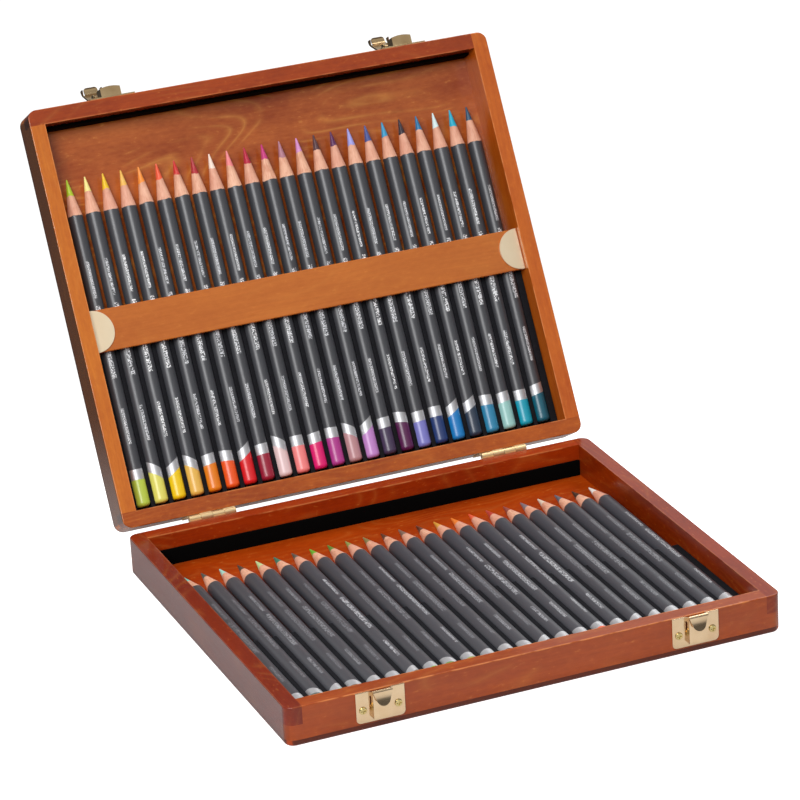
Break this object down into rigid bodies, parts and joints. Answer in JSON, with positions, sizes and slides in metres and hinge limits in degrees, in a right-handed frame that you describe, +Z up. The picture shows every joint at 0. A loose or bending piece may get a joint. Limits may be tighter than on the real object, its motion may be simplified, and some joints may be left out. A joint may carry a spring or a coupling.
{
  "type": "hinged wooden pencil case",
  "caption": "Shallow hinged wooden pencil case standing open, with a row of colour pencils bedded in black foam in each half, brass hinges and two latches.",
  "frame": {"origin": "centre of the base's underside", "axes": "+X along the hinge line, +Y from the latches towards the hinges, +Z up"},
  "size_m": [0.26, 0.3811, 0.2215],
  "materials": {
    "frame_wood": "satin varnish",
    "ply_sheet": "satin varnish",
    "bar_wood": "satin varnish",
    "foam": "matte foam",
    "brass_sheet": "satin plated",
    "screw_brass": "satin",
    "steel_pin": "satin",
    "pencil_casing": "lacquered",
    "pencil_lead": "matte core"
  },
  "bodies": {
    "base": {"base_front_wall": "frame_wood", "base_back_wall": "frame_wood", "base_left_wall": "frame_wood", "base_right_wall": "frame_wood", "base_bottom_panel": "ply_sheet", "base_foam_pad": "foam", "base_tip_strip": "foam", "keeper_left": "brass_sheet", "keeper_right": "brass_sheet", "keeper_screws": "screw_brass", "hinge_left_base_leaf": "brass_sheet", "hinge_right_base_leaf": "brass_sheet", "hinge_left_pin": "steel_pin", "hinge_right_pin": "steel_pin", "hinge_base_screws": "screw_brass"},
    "lid": {"lid_front_wall": "frame_wood", "lid_back_wall": "frame_wood", "lid_left_wall": "frame_wood", "lid_right_wall": "frame_wood", "lid_panel": "ply_sheet", "lid_foam_pad": "foam", "lid_tip_strip": "foam", "lid_crossbar": "bar_wood", "crossbar_clip_left": "brass_sheet", "crossbar_clip_right": "brass_sheet", "latch_left_plate": "brass_sheet", "latch_right_plate": "brass_sheet", "latch_left_pin": "steel_pin", "latch_right_pin": "steel_pin", "latch_screws": "screw_brass", "hinge_left_lid_leaf": "brass_sheet", "hinge_right_lid_leaf": "brass_sheet", "hinge_lid_screws": "screw_brass"},
    "left_claw": {"latch_left_claw": "brass_sheet"},
    "right_claw": {"latch_right_claw": "brass_sheet"},
    "base_pencils": {"base_pencil_casings_1": "pencil_casing", "base_pencil_leads_1": "pencil_lead", "base_pencil_casings_2": "pencil_casing", "base_pencil_leads_2": "pencil_lead", "base_pencil_casings_3": "pencil_casing", "base_pencil_leads_3": "pencil_lead", "base_pencil_casings_4": "pencil_casing", "base_pencil_leads_4": "pencil_lead"},
    "lid_pencils": {"lid_pencil_casings_1": "pencil_casing", "lid_pencil_leads_1": "pencil_lead", "lid_pencil_casings_2": "pencil_casing", "lid_pencil_leads_2": "pencil_lead", "lid_pencil_casings_3": "pencil_casing", "lid_pencil_leads_3": "pencil_lead", "lid_pencil_casings_4": "pencil_casing", "lid_pencil_leads_4": "pencil_lead"}
  },
  "joints": [
    {"name": "lid_hinge", "type": "hinge", "parent": "base", "child": "lid", "pos_m": [0, 0.1135, 0.021], "axis": [1, 0, 0], "range_deg": [0, 119.4]},
    {"name": "left_latch", "type": "hinge", "parent": "lid", "child": "left_claw", "pos_m": [-0.0826, 0.23841, 0.21232], "axis": [1, 0, 0], "range_deg": [0, 151]},
    {"name": "right_latch", "type": "hinge", "parent": "lid", "child": "right_claw", "pos_m": [0.0826, 0.23841, 0.21232], "axis": [1, 0, 0], "range_deg": [0, 151]},
    {"name": "base_row_slide", "type": "slide", "parent": "base", "child": "base_pencils", "axis": [0, 1, 0], "range_m": [0, 0.0255]},
    {"name": "lid_row_slide", "type": "slide", "parent": "lid", "child": "lid_pencils", "axis": [0, 0.4909, 0.8712], "range_m": [0, 0.0255]}
  ]
}
